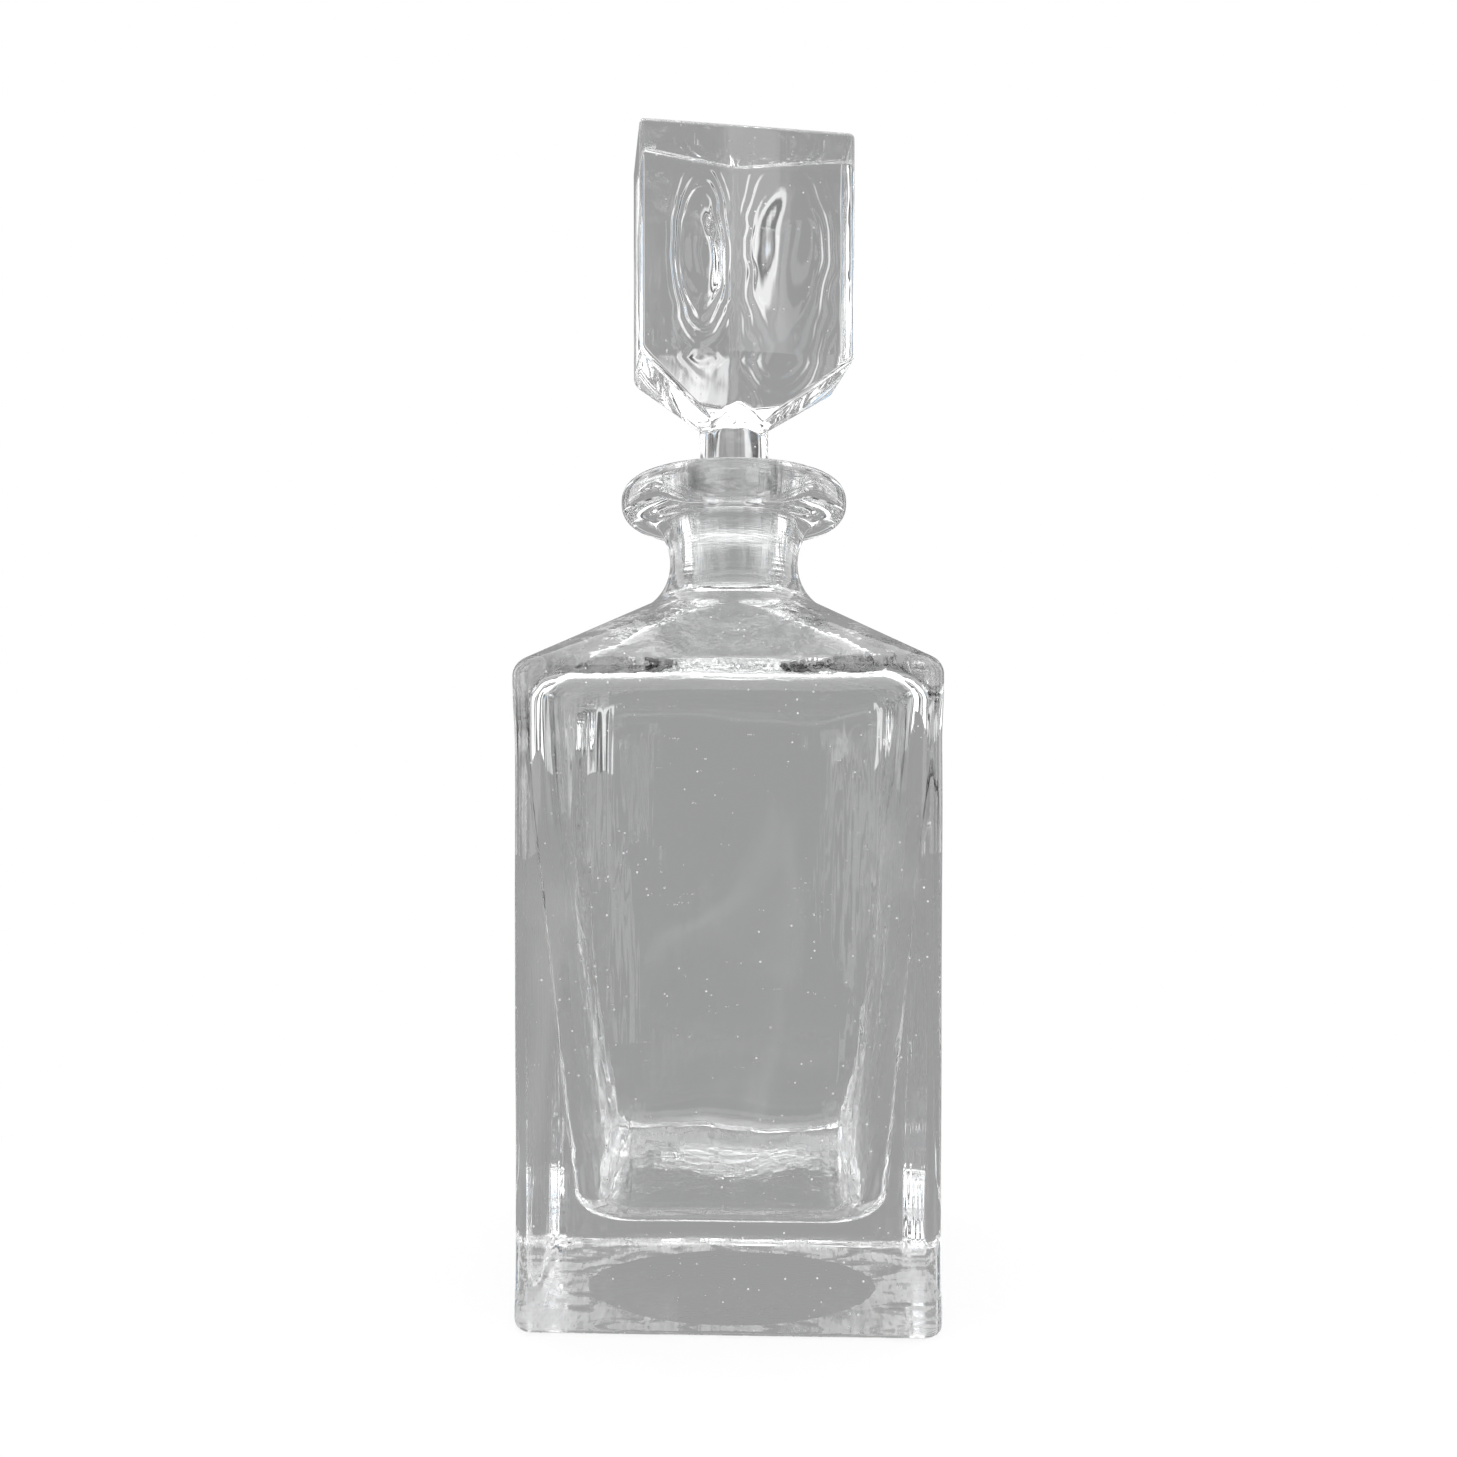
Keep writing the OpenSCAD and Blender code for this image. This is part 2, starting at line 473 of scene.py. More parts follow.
@dataclass(frozen=True)
class GroundGlass:
    """Glass ground with grit on a turning wheel: hazy, with fine rings and a few deeper ones.

    Args:
        name: the material's name.
        tint: colour of the glass in the mass.
        ior: refractive index.
        ring_pitch: usual distance between grinding rings, in millimetres.
        ring_length: length of a ring before it fades, in pitches.
        chatter_cell: width and height of the grit's coarser marks, in pitches.
        chatter: height of the coarser marks as a share of the rings' height.
        depth: depth of the relief, in millimetres.
        haze: roughness of the ground surface.
        haze_least: roughness between the rings as a share of the haze.
        haze_most: roughness in the deepest rings as a share of the haze.
    """

    name: str
    tint: tuple[float, float, float] = (0.98, 0.985, 0.985)
    ior: float = 1.52
    ring_pitch: float = 0.9
    ring_length: float = 30.0
    chatter_cell: tuple[float, float] = (2.0, 14.0)
    chatter: float = 0.7
    depth: float = 0.3
    haze: float = 0.12
    haze_least: float = 0.3
    haze_most: float = 2.2

    def material(self) -> bpy.types.Material:
        """Makes the material.

        Returns:
            The finished material.
        """
        nodes = Nodes(bpy.data.materials.new(self.name))
        length = self.ring_pitch * self.ring_length
        across, up = (self.ring_pitch * pitches for pitches in self.chatter_cell)
        rings = nodes.noise(nodes.place((length, length, self.ring_pitch)), 3.0)
        chatter = nodes.noise(nodes.place((across, across, up)), 2.0)
        height = nodes.math("ADD", rings, nodes.math("MULTIPLY", chatter, self.chatter))
        least, most = self.haze * self.haze_least, self.haze * self.haze_most
        rough = nodes.ramp(rings, [(0.35, least), (0.55, self.haze), (0.7, most)])
        shader = nodes.add(
            "ShaderNodeBsdfPrincipled", Base_Color=(*self.tint, 1), IOR=self.ior, Roughness=rough,
            Normal=nodes.bump(height, self.depth), Transmission_Weight=1.0,
        )
        nodes.add("ShaderNodeOutputMaterial", Surface=shader.outputs["BSDF"])
        return nodes.owner


@dataclass(frozen=True)
class WornGlassWithPaintedGlow:
    """The border a heavy bottle stands on: glass dulled by standing and by being slid about, its
    scratches given a painted glow.

    Args:
        name: the material's name.
        ior: refractive index.
        haze: roughness where it is most worn.
        bloom: how much of the light the wear scatters at most.
        painted_glow: painted light that the scratches give off under the bottle, a glow of their
            own.
        patch_cell: size of one worn patch along X, Y and Z, in millimetres.
        scratch_cell: size of one scratch.
        depth: depth of the scratches, in millimetres.
        border: region within which the painted glow grows towards the corners.
    """

    name: str
    ior: float = 1.52
    haze: float = 0.6
    bloom: float = 0.5
    # painted glow given off by the scratched patches
    painted_glow: float = 0.14
    patch_cell: tuple[float, float, float] = (12.0, 12.0, 12.0)
    scratch_cell: tuple[float, float, float] = (1.6, 11.0, 11.0)
    depth: float = 0.02
    border: Spot = Spot((0.0, 0.0, 0.0), (60.0, 60.0, 60.0))

    def material(self) -> bpy.types.Material:
        """Makes the material.

        Returns:
            The finished material.
        """
        nodes = Nodes(bpy.data.materials.new(self.name))
        patches = nodes.noise(nodes.place(self.patch_cell), 2.0, 1.2)
        scratches = nodes.noise(nodes.place(self.scratch_cell), 2.0, 0.8)
        scratched = nodes.ramp(scratches, [(0.3, 0.35), (0.7, 1.0)])
        wear = nodes.math("MULTIPLY", nodes.step(patches, 0.36, 0.6), scratched)
        # Painted glow: the scratches give off light, more of it towards the corners.
        corner = nodes.math("MULTIPLY", nodes.step(self.border.reach(nodes), 0.62, 0.95), self.painted_glow)
        painted_glow = nodes.math("MULTIPLY", wear, nodes.math("ADD", self.painted_glow, corner))
        scattered = nodes.math("MULTIPLY", wear, self.bloom)
        shader = nodes.add(
            "ShaderNodeBsdfPrincipled", Base_Color=WHITE, IOR=self.ior,
            Roughness=nodes.math("MULTIPLY", wear, self.haze),
            Transmission_Weight=nodes.math("SUBTRACT", 1.0, scattered),
            Normal=nodes.bump(scratches, self.depth),
            Emission_Color=WHITE, Emission_Strength=painted_glow,
        )
        nodes.add("ShaderNodeOutputMaterial", Surface=shader.outputs["BSDF"])
        return nodes.owner


# ---------------------------------------------------------------- pieces


def finish_piece(
    bm: bmesh.types.BMesh, name: str, materials: list[bpy.types.Material]
) -> bpy.types.Object:
    """Turns a bmesh into a smooth-shaded object in the scene.

    Args:
        bm: the mesh, in metres, which is freed.
        name: the piece's name.
        materials: its materials, in the order that its faces name them.

    Returns:
        The new object.
    """
    mesh = bpy.data.meshes.new(name)
    bmesh.ops.remove_doubles(bm, verts=bm.verts, dist=MERGE)
    bmesh.ops.recalc_face_normals(bm, faces=bm.faces)
    for face in bm.faces:
        face.smooth = True
    bm.to_mesh(mesh)
    bm.free()
    for material in materials:
        mesh.materials.append(material)
    piece = bpy.data.objects.new(name, mesh)
    bpy.context.collection.objects.link(piece)
    return piece


def ring_reach(angle: float, half: float, corner: float) -> float:
    """How far a square ring with round corners lies from its middle.

    Args:
        angle: direction in radians.
        half: half the width across the flats.
        corner: radius of the corners.

    Returns:
        The distance from the middle to the ring in that direction.
    """
    turn = abs((angle + math.pi / 4) % (math.pi / 2) - math.pi / 4)
    corner = min(corner, half)
    inner = half - corner
    if half * math.tan(turn) <= inner:
        return half / math.cos(turn)
    along = inner * (math.cos(turn) + math.sin(turn))
    across = inner * (math.cos(turn) - math.sin(turn))
    return along + math.sqrt(max(corner * corner - across * across, 0.0))


def lathe(stations: list[Station], segments: int, crowd: float) -> bmesh.types.BMesh:
    """Turns a profile into a round blank, then presses each ring square.

    Args:
        stations: the rings, in order from the axis back to the axis.
        segments: steps round a full turn.
        crowd: how closely the steps gather at the corners, from 0 to just under 1.

    Returns:
        The closed skin, in metres.
    """
    bm = bmesh.new()
    corner_of = bm.verts.layers.float.new("corner")
    line = []
    for station in stations:
        vertex = bm.verts.new((station.half * MM, 0, station.height * MM))
        vertex[corner_of] = station.corner * MM
        line.append(vertex)
    edges = [bm.edges.new(pair) for pair in zip(line, line[1:])]
    bmesh.ops.spin(
        bm, geom=line + edges, cent=(0, 0, 0), axis=(0, 0, 1), dvec=(0, 0, 0),
        angle=math.tau, steps=segments, use_merge=True, use_normal_flip=False, use_duplicate=False,
    )
    bmesh.ops.remove_doubles(bm, verts=bm.verts, dist=MERGE)
    for vertex in bm.verts:
        half = math.hypot(vertex.co.x, vertex.co.y)
        if half < 2 * MERGE:
            continue
        angle = math.atan2(vertex.co.y, vertex.co.x)
        angle += crowd / 4 * math.sin(4 * angle)
        reach = ring_reach(angle, half, vertex[corner_of])
        vertex.co.x = reach * math.cos(angle)
        vertex.co.y = reach * math.sin(angle)
    return bm


@dataclass
class Bottle:
    """The bottle: heavy base, tapered chamber, sloping shoulder, round neck and lip ring.

    Args:
        width: width and depth of the body.
        lip_top: height of the lip's top.
        upright_r: radius of the body's upright edges.
        foot_r: radius of the edge round the foot.
        shoulder_h: height at which the sloping shoulder would meet the walls.
        shoulder_slope: fall of the shoulder, in degrees.
        shoulder_r: radius of the edge under the shoulder.
        shoulder_gain: how fast the corners grow round over that edge.
        hollow_r: radius of the hollow under the base.
        hollow_depth: depth of the hollow.
        waist_r: radius of the neck where it is thinnest.
        sweep_r: radius of the neck's concave sweep.
        lip_r: radius of the lip ring.
        lip_t: height of the lip ring.
        lip_round_r: radius of the lip's two outer edges.
        mouth_r: radius of the mouth at its top.
        mouth_bevel: radius of the mouth's edge.
        bore_foot_r: radius of the ground mouth at its foot.
        bore_foot_z: height of its foot.
        throat_drop: step from the ground mouth to the throat below it.
        throat_margin: how far inside the neck's foot the waves stop.
        neck_wall: thickness of the neck and shoulder.
        wall_top: thickness of the walls under the shoulder.
        wall_foot: thickness of the walls at the chamber's floor.
        wall_curve: how late the walls thicken; 1 is evenly.
        roof_r: radius of the edge round the chamber's roof.
        roof_corner_r: radius of the chamber's upright edges at the top.
        foot_corner_r: radius of the chamber's upright edges at the floor.
        base_t: thickness of the glass under the chamber.
        floor_r: radius of the edge round the chamber's floor.
        floor_gain: how fast the corners tighten over that edge.
        floor_round: radius of the floor's rings as they close in, as a share of its half-width.
        wave: height of the waves in the chamber's walls.
        outer_wave: height of the waves in the outer walls.
        outer_sink: how far the outer walls' waves lie inside the flat, in wave heights.
        swell_cell: size of one broad wave along X, Y and Z.
        streak_cell: size of one narrow wave.
        streak_share: height of the narrow waves as a share of the broad ones.
        line_cell: size of one fine line in the outer walls.
        line_share: height of the fine lines as a share of the broad waves.
        fade_h: height over which the waves fade out at both ends.
        segments: steps round a full turn.
        crowd: how closely the steps gather at the corners.
    """

    width: float
    lip_top: float
    upright_r: float = 4.5
    foot_r: float = 2.5
    shoulder_h: float = 142.5
    shoulder_slope: float = 36.5
    shoulder_r: float = 5.0
    shoulder_gain: float = 0.35
    hollow_r: float = 33.5
    hollow_depth: float = 0.6
    waist_r: float = 15.6
    sweep_r: float = 13.0
    lip_r: float = 27.4
    lip_t: float = 10.8
    lip_round_r: float = 4.9
    mouth_r: float = 11.33
    mouth_bevel: float = 1.2
    bore_foot_r: float = 10.14
    bore_foot_z: float = 161.4
    throat_drop: float = 1.0
    throat_margin: float = 2.0
    neck_wall: float = 4.8
    wall_top: float = 3.0
    wall_foot: float = 10.5
    wall_curve: float = 1.5
    roof_r: float = 8.0
    roof_corner_r: float = 8.0
    foot_corner_r: float = 14.0
    base_t: float = 21.0
    floor_r: float = 7.5
    floor_gain: float = 0.8
    floor_round: float = 0.6
    wave: float = 0.8
    outer_wave: float = 0.16
    outer_sink: float = 2.2
    swell_cell: tuple[float, float, float] = (17.0, 17.0, 30.0)
    streak_cell: tuple[float, float, float] = (6.0, 6.0, 55.0)
    streak_share: float = 0.35
    line_cell: tuple[float, float, float] = (3.5, 3.5, 45.0)
    line_share: float = 0.8
    fade_h: float = 12.0
    segments: int = 192
    crowd: float = 0.8

    def __post_init__(self) -> None:
        """Works out where the shoulder meets the neck's sweep."""
        slope = math.radians(self.shoulder_slope)
        self.half = self.width / 2
        self.sweep_x = self.waist_r + self.sweep_r
        self.meet_r = self.sweep_x - self.sweep_r * math.sin(slope)
        self.meet_z = self.shoulder_h + (self.half - self.meet_r) * math.tan(slope)
        self.waist_z = self.meet_z + self.sweep_r * math.cos(slope)
        self.throat_r = self.meet_r - self.throat_margin

    def base(self) -> list[Station]:
        """The underside, from its middle out to the walls.

        Returns:
            The rings of the hollow, the flat border and the rounded foot.
        """
        steps = 8
        rings = []
        for i in range(steps + 1):
            r = self.hollow_r * i / steps
            rings.append(Station(r, self.hollow_depth * (1 - (r / self.hollow_r) ** 2), r))
        foot = self.half - self.foot_r
        rings.append(Station(mix(self.hollow_r, foot, 0.5), 0, self.hollow_r * 0.5))
        for half, height in arc((foot, self.foot_r), self.foot_r, -90, 0, steps=6):
            rings.append(Station(half, height, self.upright_r - (self.half - half)))
        return rings

    def walls(self) -> list[Station]:
        """The four walls and the round corner under the shoulder.

        Returns:
            The rings up to the start of the sloping shoulder.
        """
        slope = math.radians(self.shoulder_slope)
        drop = self.shoulder_r * (1 - math.sin(slope)) / math.cos(slope)
        centre = (self.half - self.shoulder_r, self.shoulder_h - drop)
        steps = 40
        heights = [mix(self.foot_r, centre[1], i / steps) for i in range(1, steps)]
        rings = [Station(self.half, height, self.upright_r) for height in heights]
        for half, height in arc(centre, self.shoulder_r, 0, 90 - self.shoulder_slope, steps=9):
            corner = self.upright_r + self.shoulder_gain * (self.half - half)
            rings.append(Station(half, height, corner))
        return rings

    def shoulder(self, start: Station, end: tuple[float, float], steps: int) -> list[Station]:
        """A sloping face that turns from square to round, with straight hips at its corners.

        Args:
            start: the ring it leaves from.
            end: distance from the axis and height where it has become a circle.
            steps: number of rings to make.

        Returns:
            The rings, without the first.
        """
        root = math.sqrt(2)
        first_hip = start.half * root - start.corner * (root - 1)
        rings = []
        for i in range(1, steps + 1):
            share = i / steps
            half = mix(start.half, end[0], share)
            hip = mix(first_hip, end[0], share)
            corner = min(max((half * root - hip) / (root - 1), start.corner), half)
            rings.append(Station(half, mix(start.height, end[1], share), corner))
        return rings

    def neck_and_lip(self) -> list[Station]:
        """The neck's concave sweep, the lip ring and the bevelled, ground mouth.

        Returns:
            The rings from the shoulder up, over the lip and down the mouth.
        """
        lip_foot = self.lip_top - self.lip_t
        centre = (self.sweep_x, self.waist_z)
        top_angle = 180 - math.degrees(math.asin((lip_foot - self.waist_z) / self.sweep_r))
        points = arc(centre, self.sweep_r, 270 - self.shoulder_slope, top_angle, steps=24)[1:]
        edge, lip_round = self.lip_r - self.lip_round_r, self.lip_round_r
        points += arc((edge, lip_foot + lip_round), lip_round, -90, 0, steps=10)
        points += arc((edge, self.lip_top - lip_round), lip_round, 0, 90, steps=10)
        rim, mouth_z = self.mouth_r + self.mouth_bevel, self.lip_top - self.mouth_bevel
        steps = 4
        points += [(mix(edge, rim, i / steps), self.lip_top) for i in range(1, steps)]
        points += arc((rim, mouth_z), self.mouth_bevel, 90, 180, steps=5)
        rings = [Station(r, z, r) for r, z in points]
        steps = 16
        for i in range(1, steps + 1):
            r = mix(self.mouth_r, self.bore_foot_r, i / steps)
            z = mix(mouth_z, self.bore_foot_z, i / steps)
            rings.append(Station(r, z, r, Finish.GROUND))
        return rings

    def chamber(self) -> list[Station]:
        """The inside, from the foot of the mouth down to the middle of the floor.

        Returns:
            The rings of the throat, the roof, the walls and the floor.
        """
        slope = math.radians(self.shoulder_slope)
        centre = (self.sweep_x, self.waist_z)
        inner_r = self.sweep_r + self.neck_wall
        throat_fall = self.waist_z - self.bore_foot_z + self.throat_drop
        start = 180 + math.degrees(math.asin(throat_fall / inner_r))
        throat = arc(centre, inner_r, start, 270 - self.shoulder_slope, steps=8)
        rings = [Station(r, z, r) for r, z in throat]
        top_half = self.half - self.wall_top
        last = rings[-1]
        roof_z = last.height - (top_half - last.half) * math.tan(slope)
        drop = self.roof_r * (1 - math.sin(slope)) / math.cos(slope)
        roof_centre = (top_half - self.roof_r, roof_z - drop)
        arrive = arc(roof_centre, self.roof_r, 90 - self.shoulder_slope, 0, steps=8)
        corner_ring = Station(arrive[0][0], arrive[0][1], self.roof_corner_r)
        slope_rings = self.shoulder(corner_ring, (last.half, last.height), steps=16)[:-1]
        rings += slope_rings[::-1] + [corner_ring]
        rings += [Station(half, height, self.roof_corner_r) for half, height in arrive[1:]]
        foot_half = self.half - self.wall_foot
        foot_z = self.base_t + self.floor_r
        steps = 40
        for i in range(1, steps + 1):
            share = i / steps
            half = mix(top_half, foot_half, share ** self.wall_curve)
            corner = mix(self.roof_corner_r, self.foot_corner_r, share)
            rings.append(Station(half, mix(roof_centre[1], foot_z, share), corner))
        floor_edge = foot_half - self.floor_r
        for half, height in arc((floor_edge, foot_z), self.floor_r, 0, -90, steps=10)[1:]:
            corner = self.foot_corner_r - self.floor_gain * (foot_half - half)
            rings.append(Station(half, height, corner))
        last = rings[-1]
        steps, round_by = 8, 6
        for i in range(1, steps + 1):
            half = mix(floor_edge, 0, i / steps)
            corner = min(half, mix(last.corner, floor_edge * self.floor_round, i / round_by))
            rings.append(Station(half, self.base_t, corner))
        return rings

    def build(self) -> bmesh.types.BMesh:
        """Makes the bottle's closed skin.

        Returns:
            The mesh, with the mouth's faces set to the ground finish and the foot's to the worn one
            with its painted glow.
        """
        stations = self.base() + self.walls()
        stations += self.shoulder(stations[-1], (self.meet_r, self.meet_z), steps=20)
        stations += self.neck_and_lip() + self.chamber()
        bm = lathe(stations, self.segments, self.crowd)
        low, high = self.bore_foot_z * MM, (self.lip_top - self.mouth_bevel) * MM
        worn_h = 0.3 * self.foot_r * MM
        for face in bm.faces:
            middle = face.calc_center_median()
            reach = math.hypot(middle.x, middle.y)
            if reach < (self.mouth_r + HAIR) * MM and low < middle.z < high:
                face.material_index = Finish.GROUND.value
            elif reach > self.hollow_r * MM and middle.z < worn_h:
                face.material_index = Finish.WORN_AND_PAINTED_GLOW.value
        self.ripple(bm)
        return bm

    def ripple(self, bm: bmesh.types.BMesh) -> None:
        """Gives the walls, inside and out, the long uneven waves that pressing leaves.

        Args:
            bm: the bottle's skin, in metres.
        """
        bmesh.ops.recalc_face_normals(bm, faces=bm.faces)
        bm.normal_update()
        walls = ((self.foot_r + 1) * MM, (self.shoulder_h - self.shoulder_r) * MM)
        chamber = ((self.base_t + 3) * MM, (self.bore_foot_z - 4) * MM)
        fade_h = self.fade_h * MM
        for vertex in bm.verts:
            x, y, z = vertex.co
            outside = vertex.normal.x * x + vertex.normal.y * y > 0
            low, high = walls if outside else chamber
            if not low < z < high or math.hypot(x, y) < self.throat_r * MM:
                continue
            fade = ease((z - low) / fade_h) * ease((high - z) / fade_h)
            swell = cloud(vertex.co, self.swell_cell)
            swell += self.streak_share * cloud(vertex.co, self.streak_cell)
            height = self.wave
            if outside:
                swell += self.line_share * cloud(vertex.co, self.line_cell) - self.outer_sink
                height = self.outer_wave
            vertex.co += vertex.normal * (fade * height * swell * MM)

    def dress(self) -> bpy.types.Object:
        """Makes the finished bottle and ties it to the frame.

        Returns:
            The bottle.
        """
        polished = ClearGlass("bottle_polished", drawn=0.11, turned_above=180.0)
        # The foot's finish is worn glass with a painted glow in its scratches.
        finishes = (polished, GroundGlass("mouth_ground"), WornGlassWithPaintedGlow("foot_worn_painted_glow"))
        materials = [finish.material() for finish in finishes]
        piece = finish_piece(self.build(), "decanter_bottle", materials)
        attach(piece, "bottle")
        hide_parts("bottle")
        return piece


@dataclass
class Stopper:
    """The stopper: block, tapered underside, eight-sided neck and ground plug.

    Args:
        top: height of the block's top.
        foot: height of the plug's lower end.
        turn: degrees that the stopper stands turned in its seat.
        shift: how far the block stands to one side of the plug.
        block_w: width of the block.
        block_h: height of the block.
        front: from the plug's axis to the block's front.
        back: from the plug's axis to the block's rear edges.
        ridge: how far the rear ridge stands behind those edges.
        edge_r: radius of the block's edges.
        taper_h: height of the tapered underside.
        stem_r: radius of the eight-sided neck, to its corners.
        stem_foot_r: radius of the neck's flared foot.
        stem_foot_h: height of the flare.
        plug_len: length of the plug.
        plug_top_r: radius of the plug at its top.
        plug_foot_r: radius of the plug at its foot.
        plug_bevel: bevel at the plug's foot.
        dish_turn: degrees that the rear faces slant from the front.
        dish_depth: depth of the dishes pressed into the rear faces.
        dish_stir: how far the dishes stray from a true oval, as a share of their size.
        dish_wall: width of a dish's sloping wall, as a share of its size.
        stir_cell: size of one stray of a dish along X, Y and Z.
        grid_step: size of the squares that the rear faces are cut into.
    """

    top: float
    foot: float
    turn: float = 9.7
    shift: float = 1.7
    block_w: float = 51.0
    block_h: float = 53.5
    front: float = 13.5
    back: float = 12.5
    ridge: float = 11.0
    edge_r: float = 1.3
    taper_h: float = 14.0
    stem_r: float = 8.7
    stem_foot_r: float = 9.8
    stem_foot_h: float = 3.0
    plug_len: float = 27.0
    plug_top_r: float = 11.18
    plug_foot_r: float = 10.1
    plug_bevel: float = 0.8
    dish_turn: float = 23.0
    dish_depth: float = 1.6
    dish_stir: float = 0.25
    dish_wall: float = 0.85
    stir_cell: tuple[float, float, float] = (11.0, 11.0, 11.0)
    grid_step: float = 1.0

    def __post_init__(self) -> None:
        """Works out the heights of the stopper's parts and where its rear faces are pressed."""
        self.dishes = (
            Spot((-9.0, 17.5, 250.0), (6.0, 9.0, 15.0), turn=self.turn + self.dish_turn),
            Spot((9.5, 20.5, 250.0), (9.0, 9.0, 20.0), turn=self.turn - self.dish_turn),
        )
        self.block_z = self.top - self.block_h
        self.stem_top = self.block_z - self.taper_h
        self.plug_top = self.foot + self.plug_len

    def block(self) -> tuple[bmesh.types.BMesh, bmesh.types.BMFace]:
        """The ridged block with its tapered underside.

        Returns:
            The mesh, and the eight-cornered face at its lower end where the neck begins.
        """
        bm = bmesh.new()
        half, inner = self.block_w / 2, self.stem_r * math.cos(math.radians(45))
        front, back = -self.front, self.back
        plan = [(-half, front), (half, front), (half, back), (-half, back), (0, back + self.ridge)]
        for height in (self.top, self.block_z):
            for x, y in plan:
                bm.verts.new((x + self.shift, y, height))
        for x in (-inner, inner):
            for y in (-inner, inner):
                bm.verts.new((x, y, self.stem_top))
        bmesh.ops.convex_hull(bm, input=bm.verts)
        bmesh.ops.dissolve_limit(bm, angle_limit=FLAT, verts=bm.verts, edges=bm.edges)
        bmesh.ops.recalc_face_normals(bm, faces=bm.faces)
        end = lowest(bm)
        middles = bmesh.ops.subdivide_edges(bm, edges=list(end.edges), cuts=1)["geom_inner"]
        end = lowest(bm)
        for vertex in [v for v in middles if isinstance(v, bmesh.types.BMVert)]:
            outward = Vector((vertex.co.x, vertex.co.y, 0)).normalized() * (self.stem_r - inner)
            normal = next(f for f in vertex.link_faces if f is not end).normal
            vertex.co += outward
            vertex.co.z -= normal.dot(outward) / normal.z
        return bm, end

    def build(self) -> bmesh.types.BMesh:
        """Makes the stopper's closed skin.

        Returns:
            The mesh, with the plug's faces set to the ground finish.
        """
        bm, end = self.block()
        end = self.drop(bm, end, self.plug_top + self.stem_foot_h, None)
        bm.normal_update()
        rim = set(end.edges)
        sharp = [e for e in bm.edges if e not in rim and e.calc_face_angle(0) > CREASE]
        bmesh.ops.bevel(
            bm, geom=sharp, offset=self.edge_r, offset_type="OFFSET", segments=4, profile=0.5,
            affect="EDGES", clamp_overlap=True, material=-1,
        )
        end = lowest(bm)
        bmesh.ops.subdivide_edges(bm, edges=list(end.edges), cuts=5)
        end = lowest(bm)
        end = self.drop(bm, end, self.plug_top, self.stem_foot_r)
        end = self.drop(bm, end, self.plug_top, self.plug_top_r)
        end = self.drop(bm, end, self.foot + self.plug_bevel, self.plug_foot_r)
        self.drop(bm, end, self.foot, self.plug_foot_r - self.plug_bevel)
        for face in bm.faces:
            height = face.calc_center_median().z
            if self.foot + HAIR < height < self.plug_top - HAIR:
                face.material_index = Finish.GROUND.value
        pressed = self.grid(bm)
        bmesh.ops.scale(bm, vec=(MM, MM, MM), verts=bm.verts)
        turn = Matrix.Rotation(math.radians(self.turn), 3, "Z")
        bmesh.ops.rotate(bm, cent=(0, 0, 0), matrix=turn, verts=bm.verts)
        self.press(bm, pressed)
        return bm

    def grid(self, bm: bmesh.types.BMesh) -> list[bmesh.types.BMVert]:
        """Cuts the two rear faces into small squares, so that they can be pressed.

        Args:
            bm: the mesh being shaped.

        Returns:
            The corners inside the two faces.
        """
        bm.normal_update()
        rear = [f for f in bm.faces if f.normal.y > 0.5]
        rear = sorted(rear, key=lambda f: f.calc_area())[-2:]
        edges, corners = {e for f in rear for e in f.edges}, {v for f in rear for v in f.verts}
        region = [*rear, *edges, *corners]
        left = self.shift - self.block_w / 2
        across, up = round(self.block_w / self.grid_step), round(self.block_h / self.grid_step)
        cuts = [((left + i * self.grid_step, 0, 0), (1, 0, 0)) for i in range(1, across)]
        cuts += [((0, 0, self.block_z + i * self.grid_step), (0, 0, 1)) for i in range(1, up)]
        for point, normal in cuts:
            region = bmesh.ops.bisect_plane(
                bm, geom=region, dist=0.0001, plane_co=point, plane_no=normal
            )["geom"]
        faces = {f for f in region if isinstance(f, bmesh.types.BMFace)}
        found = [v for v in region if isinstance(v, bmesh.types.BMVert)]
        return [v for v in found if faces.issuperset(v.link_faces)]

    def press(self, bm: bmesh.types.BMesh, vertices: list[bmesh.types.BMVert]) -> None:
        """Presses the shallow oval dishes into the rear faces.

        Args:
            bm: the mesh, at its finished place.
            vertices: the corners that may move.
        """
        bm.normal_update()
        inward = {vertex: -vertex.normal.copy() for vertex in vertices}
        for vertex, way in inward.items():
            stir = self.dish_stir * cloud(vertex.co, self.stir_cell)
            shares = [(1 - dish.distance(vertex.co) - stir) / self.dish_wall for dish in self.dishes]
            vertex.co += way * (sum(ease(share) for share in shares) * self.dish_depth * MM)

    def drop(
        self, bm: bmesh.types.BMesh, face: bmesh.types.BMFace, height: float, radius: float | None
    ) -> bmesh.types.BMFace:
        """Draws a level face out to another height.

        Args:
            bm: the mesh being shaped.
            face: the face to draw out.
            height: where it ends.
            radius: how far its corners then lie from the axis, or None to leave them.

        Returns:
            The face at the new height.
        """
        grown = bmesh.ops.extrude_face_region(bm, geom=[face])["geom"]
        bmesh.ops.delete(bm, geom=[face], context="FACES_ONLY")
        for vertex in [v for v in grown if isinstance(v, bmesh.types.BMVert)]:
            if radius is not None:
                reach = math.hypot(vertex.co.x, vertex.co.y)
                vertex.co.x *= radius / reach
                vertex.co.y *= radius / reach
            vertex.co.z = height
        return next(f for f in grown if isinstance(f, bmesh.types.BMFace))

    def dress(self) -> bpy.types.Object:
        """Makes the finished stopper and ties it to the frame.

        Returns:
            The stopper.
        """
        polished = ClearGlass("stopper_polished", wave=0.05, dishes=self.dishes)
        materials = [polished.material(), GroundGlass("plug_ground").material()]
        piece = finish_piece(self.build(), "decanter_stopper", materials)
        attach(piece, "stopper")
        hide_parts("stopper")
        return piece


# ---------------------------------------------------------------- studio


SENSOR = 36.0
NEAREST, FARTHEST = 0.01, 20.0
BOUNCES, GLOSSY_BOUNCES = 24, 16
# The angle of each upright panel's middle and its half-width, in degrees.
Panels = tuple[tuple[float, float], ...]


